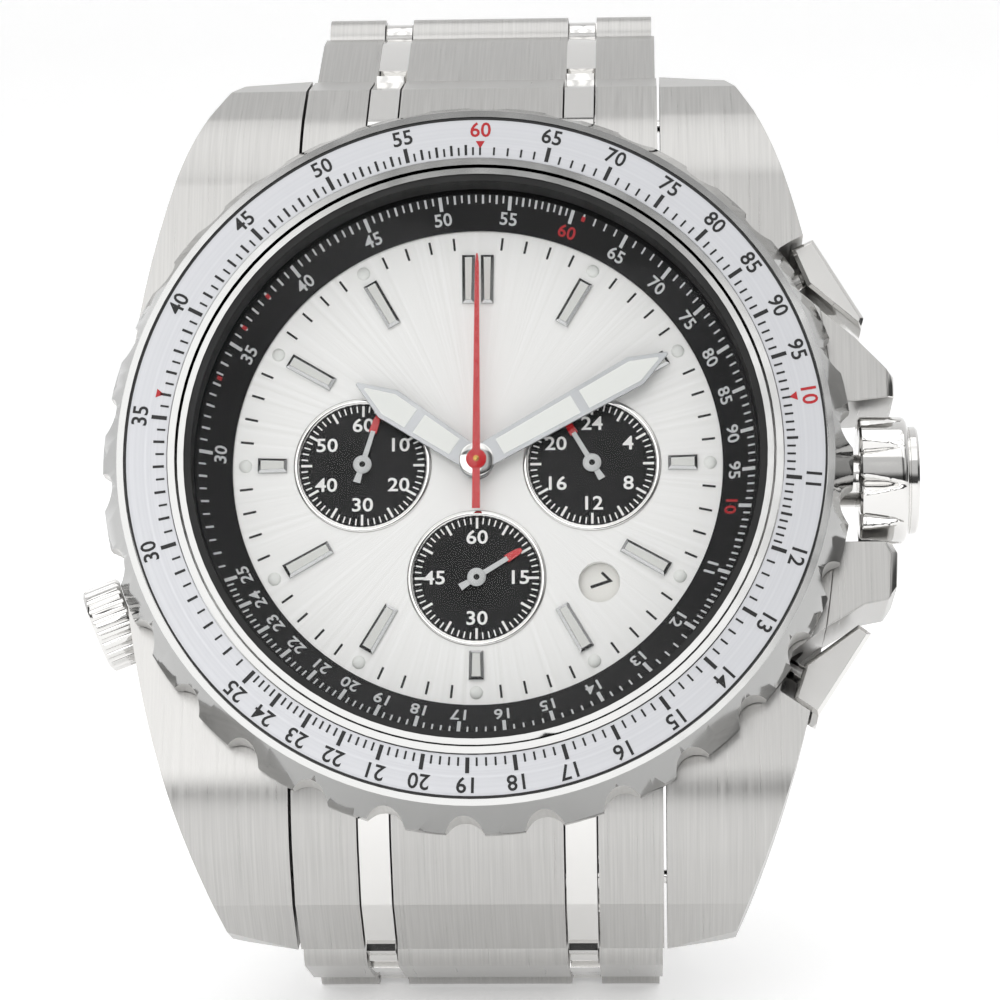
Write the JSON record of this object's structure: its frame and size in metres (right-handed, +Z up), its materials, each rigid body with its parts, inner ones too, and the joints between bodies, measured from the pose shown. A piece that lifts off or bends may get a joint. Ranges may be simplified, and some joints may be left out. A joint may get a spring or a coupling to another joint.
{
  "type": "chronograph wristwatch",
  "caption": "Steel chronograph wristwatch with a turning slide-rule bezel, push buttons, screw-down crowns and a closed link bracelet with folding clasp.",
  "frame": {"origin": "on the surface that the watch stands on, under the middle of its box", "axes": "+Z up, the dial faces -Y and leans back, +X towards the winding crown at 3 o'clock"},
  "size_m": [0.0548, 0.0654, 0.0666],
  "materials": {
    "brushed_steel": "satin brushed",
    "polished_steel": "polished",
    "insert_silver": "satin silver with printed scale",
    "dial_silver": "sunray silver",
    "black_lacquer": "satin black with printed scale",
    "sapphire": "clear, polished",
    "gasket_rubber": "matt",
    "date_white": "matt white",
    "hand_silver": "polished",
    "hand_red": "gloss red",
    "plate_nickel": "grained nickel",
    "brass_wheels": "polished",
    "tool_steel": "polished"
  },
  "bodies": {
    "head": {"case_middle": "brushed_steel", "case_back": "brushed_steel", "back_gasket": "gasket_rubber", "crystal_gasket": "gasket_rubber", "crystal": "sapphire", "crown_guard": "brushed_steel", "bezel_spring": "tool_steel", "case_tubes": "polished_steel", "dial": "dial_silver", "subdial_rims": "polished_steel", "hour_markers": "polished_steel", "movement_ring": "plate_nickel", "main_plate": "plate_nickel", "train_bridge": "plate_nickel", "balance_cock": "plate_nickel", "end_link_12": "brushed_steel", "end_link_6": "brushed_steel", "spring_bars": "polished_steel", "start_spring": "tool_steel", "reset_spring": "tool_steel", "hairspring": "tool_steel"},
    "bezel": {"bezel": "polished_steel", "bezel_insert": "insert_silver"},
    "inner_ring": {"slide_rule_ring": "black_lacquer"},
    "ring_crown": {"ring_crown": "polished_steel", "ring_pinion": "tool_steel"},
    "setting_lever": {"setting_lever": "tool_steel"},
    "crown": {"crown": "polished_steel", "winding_stem": "tool_steel"},
    "start_pusher": {"start_pusher": "polished_steel"},
    "reset_pusher": {"reset_pusher": "polished_steel"},
    "date_disc": {"date_disc": "date_white"},
    "hour_hand": {"hour_hand": "hand_silver", "hour_wheel": "brass_wheels"},
    "minute_hand": {"minute_hand": "hand_silver", "cannon_pinion": "tool_steel"},
    "minute_wheel": {"minute_wheel": "brass_wheels"},
    "day_hour_hand": {"day_hour_hand": "hand_silver"},
    "centre_wheel": {"centre_wheel": "brass_wheels"},
    "third_wheel": {"third_wheel": "brass_wheels"},
    "small_seconds": {"small_seconds_hand": "hand_silver", "fourth_wheel": "brass_wheels"},
    "escape_wheel": {"escape_wheel": "tool_steel"},
    "barrel": {"barrel": "brass_wheels"},
    "pallet_fork": {"pallet_fork": "tool_steel"},
    "balance": {"balance_wheel": "brass_wheels"},
    "ratchet_wheel": {"ratchet_wheel": "tool_steel"},
    "chrono_hand": {"chrono_hand": "hand_red"},
    "minute_counter": {"minute_counter_hand": "hand_silver"},
    "link_12_1": {"link_12_1": "brushed_steel"},
    "link_12_2": {"link_12_2": "brushed_steel"},
    "link_12_3": {"link_12_3": "brushed_steel"},
    "link_12_4": {"link_12_4": "brushed_steel"},
    "link_12_5": {"link_12_5": "brushed_steel"},
    "link_6_1": {"link_6_1": "brushed_steel"},
    "link_6_2": {"link_6_2": "brushed_steel"},
    "link_6_3": {"link_6_3": "brushed_steel"},
    "clasp_cover": {"clasp_cover": "brushed_steel"},
    "clasp_outer_blade": {"clasp_outer_blade": "polished_steel"},
    "clasp_inner_blade": {"clasp_inner_blade": "polished_steel"}
  },
  "joints": [
    {"name": "bezel_turn", "type": "hinge", "parent": "head", "child": "bezel", "pos_m": [-0.00133, -0.02294, 0.03732], "axis": [0, 0.9397, -0.342], "continuous": true},
    {"name": "inner_ring_turn", "type": "hinge", "parent": "head", "child": "inner_ring", "pos_m": [-0.00133, -0.022, 0.03698], "axis": [0, 0.9397, -0.342], "continuous": true},
    {"name": "ring_crown_turn", "type": "hinge", "parent": "head", "child": "ring_crown", "pos_m": [-0.0245, -0.02088, 0.02661], "axis": [-0.9272, -0.1281, -0.352], "continuous": true},
    {"name": "crown_pull", "type": "slide", "parent": "head", "child": "setting_lever", "axis": [1, 0, 0], "range_m": [0, 0.0012]},
    {"name": "crown_turn", "type": "hinge", "parent": "setting_lever", "child": "crown", "pos_m": [0.02467, -0.01778, 0.03512], "axis": [1, 0, 0], "continuous": true},
    {"name": "start_push", "type": "slide", "parent": "head", "child": "start_pusher", "axis": [-0.8434, -0.1838, -0.5049], "range_m": [0, 0.00055], "stiffness_N_per_m": 600, "springref_m": -0.0008, "deforming": ["start_spring"]},
    {"name": "reset_push", "type": "slide", "parent": "head", "child": "reset_pusher", "axis": [-0.8434, 0.1838, 0.5049], "range_m": [0, 0.00055], "stiffness_N_per_m": 600, "springref_m": -0.0008, "deforming": ["reset_spring"]},
    {"name": "minute_hand_turn", "type": "hinge", "parent": "head", "child": "minute_hand", "pos_m": [-0.00133, -0.022, 0.03698], "axis": [0, 0.9397, -0.342], "continuous": true},
    {"name": "hour_hand_turn", "type": "hinge", "parent": "head", "child": "hour_hand", "pos_m": [-0.00133, -0.022, 0.03698], "axis": [0, 0.9397, -0.342], "continuous": true},
    {"name": "minute_wheel_turn", "type": "hinge", "parent": "head", "child": "minute_wheel", "pos_m": [-0.00325, -0.01899, 0.03942], "axis": [0, 0.9397, -0.342], "continuous": true},
    {"name": "day_hour_turn", "type": "hinge", "parent": "head", "child": "day_hour_hand", "pos_m": [0.00615, -0.02106, 0.03664], "axis": [0, 0.9397, -0.342], "continuous": true},
    {"name": "date_turn", "type": "hinge", "parent": "head", "child": "date_disc", "pos_m": [-0.00133, -0.02069, 0.0365], "axis": [0, 0.9397, -0.342], "continuous": true},
    {"name": "small_seconds_turn", "type": "hinge", "parent": "head", "child": "small_seconds", "pos_m": [-0.0088, -0.0173, 0.03527], "axis": [0, 0.9397, -0.342], "continuous": true},
    {"name": "centre_wheel_turn", "type": "hinge", "parent": "head", "child": "centre_wheel", "pos_m": [-0.00133, -0.0173, 0.03527], "axis": [0, 0.9397, -0.342], "continuous": true},
    {"name": "third_wheel_turn", "type": "hinge", "parent": "head", "child": "third_wheel", "pos_m": [-0.00555, -0.01615, 0.03843], "axis": [0, 0.9397, -0.342], "continuous": true},
    {"name": "escape_turn", "type": "hinge", "parent": "head", "child": "escape_wheel", "pos_m": [-0.0103, -0.01778, 0.03105], "axis": [0, 0.9397, -0.342], "continuous": true},
    {"name": "barrel_turn", "type": "hinge", "parent": "head", "child": "barrel", "pos_m": [0.00468, -0.01637, 0.03493], "axis": [0, 0.9397, -0.342], "continuous": true},
    {"name": "fork_rock", "type": "hinge", "parent": "head", "child": "pallet_fork", "pos_m": [-0.00827, -0.01845, 0.02919], "axis": [0, 0.9397, -0.342], "range_deg": [-6, 6]},
    {"name": "balance_swing", "type": "hinge", "parent": "head", "child": "balance", "pos_m": [-0.00483, -0.0185, 0.02613], "axis": [0, 0.9397, -0.342], "range_deg": [-270, 270], "stiffness_Nm_per_rad": 0.0000002, "deforming": ["hairspring"]},
    {"name": "ratchet_turn", "type": "hinge", "parent": "head", "child": "ratchet_wheel", "pos_m": [0.00468, -0.01373, 0.03397], "axis": [0, 0.9397, -0.342], "continuous": true},
    {"name": "chrono_turn", "type": "hinge", "parent": "head", "child": "chrono_hand", "pos_m": [-0.00133, -0.022, 0.03698], "axis": [0, 0.9397, -0.342], "continuous": true},
    {"name": "minute_counter_turn", "type": "hinge", "parent": "head", "child": "minute_counter", "pos_m": [-0.00133, -0.02366, 0.02951], "axis": [0, 0.9397, -0.342], "continuous": true},
    {"name": "row_12_1", "type": "hinge", "parent": "head", "child": "link_12_1", "pos_m": [-0.00133, -0.00054, 0.06056], "axis": [1, 0, 0], "range_deg": [0, 44]},
    {"name": "row_12_2", "type": "hinge", "parent": "link_12_1", "child": "link_12_2", "pos_m": [-0.00133, 0.00844, 0.06495], "axis": [1, 0, 0], "range_deg": [0, 42]},
    {"name": "row_12_3", "type": "hinge", "parent": "link_12_2", "child": "link_12_3", "pos_m": [-0.00133, 0.01839, 0.0639], "axis": [1, 0, 0], "range_deg": [0, 40]},
    {"name": "row_12_4", "type": "hinge", "parent": "link_12_3", "child": "link_12_4", "pos_m": [-0.00133, 0.02648, 0.05802], "axis": [1, 0, 0], "range_deg": [0, 40]},
    {"name": "row_12_5", "type": "hinge", "parent": "link_12_4", "child": "link_12_5", "pos_m": [-0.00133, 0.03055, 0.04889], "axis": [1, 0, 0], "range_deg": [0, 34]},
    {"name": "row_6_1", "type": "hinge", "parent": "head", "child": "link_6_1", "pos_m": [-0.00133, -0.02072, 0.00512], "axis": [-1, 0, 0], "range_deg": [0, 80]},
    {"name": "row_6_2", "type": "hinge", "parent": "link_6_1", "child": "link_6_2", "pos_m": [-0.00133, -0.01132, 0.0017], "axis": [-1, 0, 0], "range_deg": [0, 30]},
    {"name": "row_6_3", "type": "hinge", "parent": "link_6_2", "child": "link_6_3", "pos_m": [-0.00133, -0.00133, 0.0017], "axis": [-1, 0, 0], "range_deg": [0, 10]},
    {"name": "clasp_open", "type": "hinge", "parent": "link_12_5", "child": "clasp_cover", "pos_m": [-0.00133, 0.03055, 0.03889], "axis": [1, 0, 0], "range_deg": [0, 55]},
    {"name": "outer_blade_turn", "type": "hinge", "parent": "clasp_cover", "child": "clasp_outer_blade", "pos_m": [-0.00133, 0.01065, 0.00506], "axis": [1, 0, 0], "range_deg": [0, 66]},
    {"name": "inner_blade_turn", "type": "hinge", "parent": "clasp_outer_blade", "child": "clasp_inner_blade", "pos_m": [-0.00133, 0.02822, 0.03492], "axis": [1, 0, 0], "range_deg": [-33, 0]}
  ],
  "couplings": [
    {"joint": "ring_crown_turn", "follows": "inner_ring_turn", "ratio": 6.2},
    {"joint": "hour_hand_turn", "follows": "minute_hand_turn", "ratio": 0.083333},
    {"joint": "minute_wheel_turn", "follows": "minute_hand_turn", "ratio": -0.33333},
    {"joint": "day_hour_turn", "follows": "minute_hand_turn", "ratio": 0.041667},
    {"joint": "date_turn", "follows": "minute_hand_turn", "ratio": 0.0013441},
    {"joint": "third_wheel_turn", "follows": "small_seconds_turn", "ratio": -0.13333},
    {"joint": "centre_wheel_turn", "follows": "small_seconds_turn", "ratio": 0.016667},
    {"joint": "escape_turn", "follows": "small_seconds_turn", "ratio": -10},
    {"joint": "barrel_turn", "follows": "small_seconds_turn", "ratio": -0.0025},
    {"joint": "ratchet_turn", "follows": "crown_turn", "ratio": -0.3125},
    {"joint": "minute_counter_turn", "follows": "chrono_turn", "ratio": 0.016667},
    {"joint": "outer_blade_turn", "follows": "clasp_open", "ratio": 1.2},
    {"joint": "inner_blade_turn", "follows": "clasp_open", "ratio": -0.6}
  ]
}
